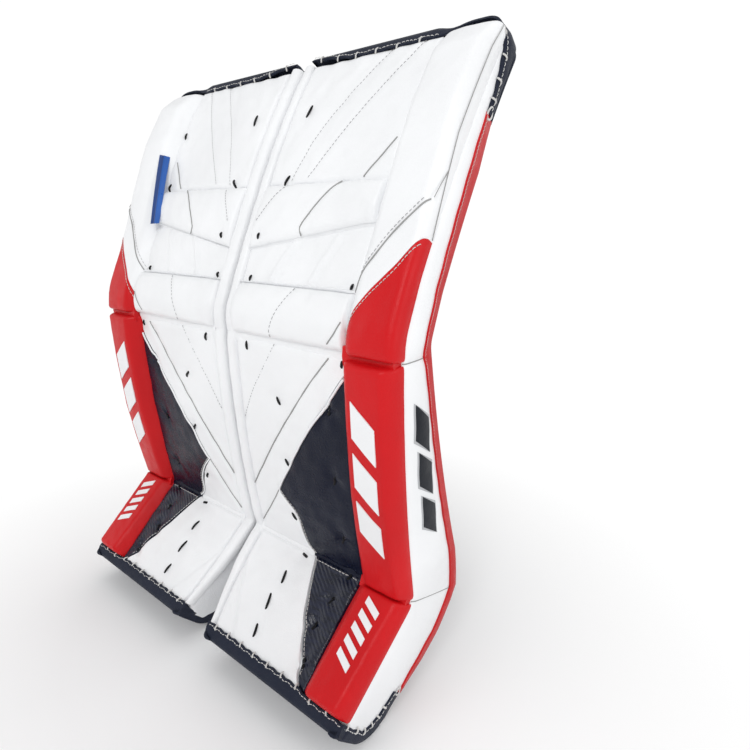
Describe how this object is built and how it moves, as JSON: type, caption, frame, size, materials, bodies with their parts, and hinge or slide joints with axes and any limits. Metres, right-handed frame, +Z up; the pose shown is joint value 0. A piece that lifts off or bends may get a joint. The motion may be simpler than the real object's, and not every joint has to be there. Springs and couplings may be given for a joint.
{
  "type": "goalie leg pads",
  "caption": "Pair of ice hockey goalie leg pads with padded rolls, side walls, calf and knee wraps, boot straps and toe tabs.",
  "frame": {"origin": "on the ground under the middle of the pair's bounding box", "axes": "+Z up, faces look along -Y, the left pad is at +X and the right pad at -X"},
  "size_m": [0.616, 0.2846, 0.8118],
  "materials": {
    "white_leather": "smooth coated synthetic leather",
    "red_leather": "fine-grained coated synthetic leather",
    "navy_leather": "glossy grained synthetic leather",
    "navy_ribbed": "ribbed synthetic leather",
    "navy_binding": "folded binding tape",
    "red_binding": "folded binding tape with zigzag stitching",
    "foam": "closed-cell foam",
    "lining": "quilted lining",
    "webbing": "woven webbing",
    "tab_leather": "thick reinforced leather",
    "blue_plastic": "thin smooth plastic strip"
  },
  "bodies": {
    "left_shin": {"left_shin_core": "foam", "left_shin_face": "white_leather", "left_shin_panel": "navy_leather", "left_shin_roll": "red_leather", "left_shin_outer_wall": "white_leather", "left_shin_inner_wall": "white_leather", "left_side_binding": "red_binding", "left_knee_block": "lining"},
    "left_thigh": {"left_thigh_core": "foam", "left_thigh_face": "white_leather", "left_thigh_bolster": "white_leather", "left_bolster_tip": "red_leather", "left_upper_knee_roll": "white_leather", "left_lower_knee_roll": "white_leather", "left_thigh_outer_wall": "white_leather", "left_top_binding": "navy_binding"},
    "left_boot": {"left_boot_core": "foam", "left_boot_face": "white_leather", "left_boot_panel": "navy_ribbed", "left_boot_roll": "red_leather", "left_boot_outer_wall": "white_leather", "left_boot_inner_wall": "white_leather", "left_toe_binding": "navy_binding", "left_boot_strap": "webbing"},
    "left_toe_tab": {"left_toe_tab": "tab_leather"},
    "left_outer_wrap": {"left_outer_calf_wrap": "lining", "left_calf_strap": "webbing"},
    "left_inner_wrap": {"left_inner_calf_wrap": "lining"},
    "left_knee_wrap": {"left_knee_wrap": "lining"},
    "right_shin": {"right_shin_core": "foam", "right_shin_face": "white_leather", "right_shin_panel": "navy_leather", "right_shin_roll": "red_leather", "right_shin_outer_wall": "white_leather", "right_shin_inner_wall": "white_leather", "right_side_binding": "red_binding", "right_knee_block": "lining"},
    "right_thigh": {"right_thigh_core": "foam", "right_thigh_face": "white_leather", "right_thigh_bolster": "white_leather", "right_bolster_tip": "red_leather", "right_upper_knee_roll": "white_leather", "right_lower_knee_roll": "white_leather", "right_thigh_outer_wall": "white_leather", "right_top_binding": "navy_binding", "right_hang_strip": "blue_plastic"},
    "right_boot": {"right_boot_core": "foam", "right_boot_face": "white_leather", "right_boot_panel": "navy_ribbed", "right_boot_roll": "red_leather", "right_boot_outer_wall": "white_leather", "right_boot_inner_wall": "white_leather", "right_toe_binding": "navy_binding", "right_boot_strap": "webbing"},
    "right_toe_tab": {"right_toe_tab": "tab_leather"},
    "right_outer_wrap": {"right_outer_calf_wrap": "lining", "right_calf_strap": "webbing"},
    "right_inner_wrap": {"right_inner_calf_wrap": "lining"},
    "right_knee_wrap": {"right_knee_wrap": "lining"}
  },
  "joints": [
    {"name": "left_boot_flex", "type": "hinge", "parent": "left_shin", "child": "left_boot", "pos_m": [0.152, -0.01807, 0.15757], "axis": [1, 0, 0], "range_deg": [-12, 10], "stiffness_Nm_per_rad": 25},
    {"name": "left_thigh_flex", "type": "hinge", "parent": "left_shin", "child": "left_thigh", "pos_m": [0.152, -0.02816, 0.45919], "axis": [1, 0, 0], "range_deg": [-8, 8], "stiffness_Nm_per_rad": 30},
    {"name": "left_toe_tab_swing", "type": "hinge", "parent": "left_boot", "child": "left_toe_tab", "pos_m": [0.156, -0.09242, 0.02433], "axis": [1, 0, 0], "range_deg": [-60, 0], "stiffness_Nm_per_rad": 0.5},
    {"name": "left_outer_wrap_swing", "type": "hinge", "parent": "left_shin", "child": "left_outer_wrap", "pos_m": [0.268, 0.04303, 0.28874], "axis": [0, -0.2834, 0.959], "range_deg": [-70, 8], "stiffness_Nm_per_rad": 0.8},
    {"name": "left_inner_wrap_swing", "type": "hinge", "parent": "left_shin", "child": "left_inner_wrap", "pos_m": [0.034, 0.04303, 0.28874], "axis": [0, -0.2834, 0.959], "range_deg": [-8, 50], "stiffness_Nm_per_rad": 0.8},
    {"name": "left_knee_wrap_swing", "type": "hinge", "parent": "left_shin", "child": "left_knee_wrap", "pos_m": [0.268, 0.00998, 0.41352], "axis": [0, -0.2153, 0.9765], "range_deg": [-70, 8], "stiffness_Nm_per_rad": 0.6},
    {"name": "right_boot_flex", "type": "hinge", "parent": "right_shin", "child": "right_boot", "pos_m": [-0.152, -0.01807, 0.15757], "axis": [1, 0, 0], "range_deg": [-12, 10], "stiffness_Nm_per_rad": 25},
    {"name": "right_thigh_flex", "type": "hinge", "parent": "right_shin", "child": "right_thigh", "pos_m": [-0.152, -0.02816, 0.45919], "axis": [1, 0, 0], "range_deg": [-8, 8], "stiffness_Nm_per_rad": 30},
    {"name": "right_toe_tab_swing", "type": "hinge", "parent": "right_boot", "child": "right_toe_tab", "pos_m": [-0.156, -0.09242, 0.02433], "axis": [1, 0, 0], "range_deg": [-60, 0], "stiffness_Nm_per_rad": 0.5},
    {"name": "right_outer_wrap_swing", "type": "hinge", "parent": "right_shin", "child": "right_outer_wrap", "pos_m": [-0.268, 0.04303, 0.28874], "axis": [0, 0.2834, -0.959], "range_deg": [-70, 8], "stiffness_Nm_per_rad": 0.8},
    {"name": "right_inner_wrap_swing", "type": "hinge", "parent": "right_shin", "child": "right_inner_wrap", "pos_m": [-0.034, 0.04303, 0.28874], "axis": [0, 0.2834, -0.959], "range_deg": [-8, 50], "stiffness_Nm_per_rad": 0.8},
    {"name": "right_knee_wrap_swing", "type": "hinge", "parent": "right_shin", "child": "right_knee_wrap", "pos_m": [-0.268, 0.00998, 0.41352], "axis": [0, 0.2153, -0.9765], "range_deg": [-70, 8], "stiffness_Nm_per_rad": 0.6},
    {"name": "pair_slide", "type": "slide", "parent": "left_shin", "child": "right_shin", "axis": [-1, 0, 0], "range_m": [0, 0.25]}
  ]
}
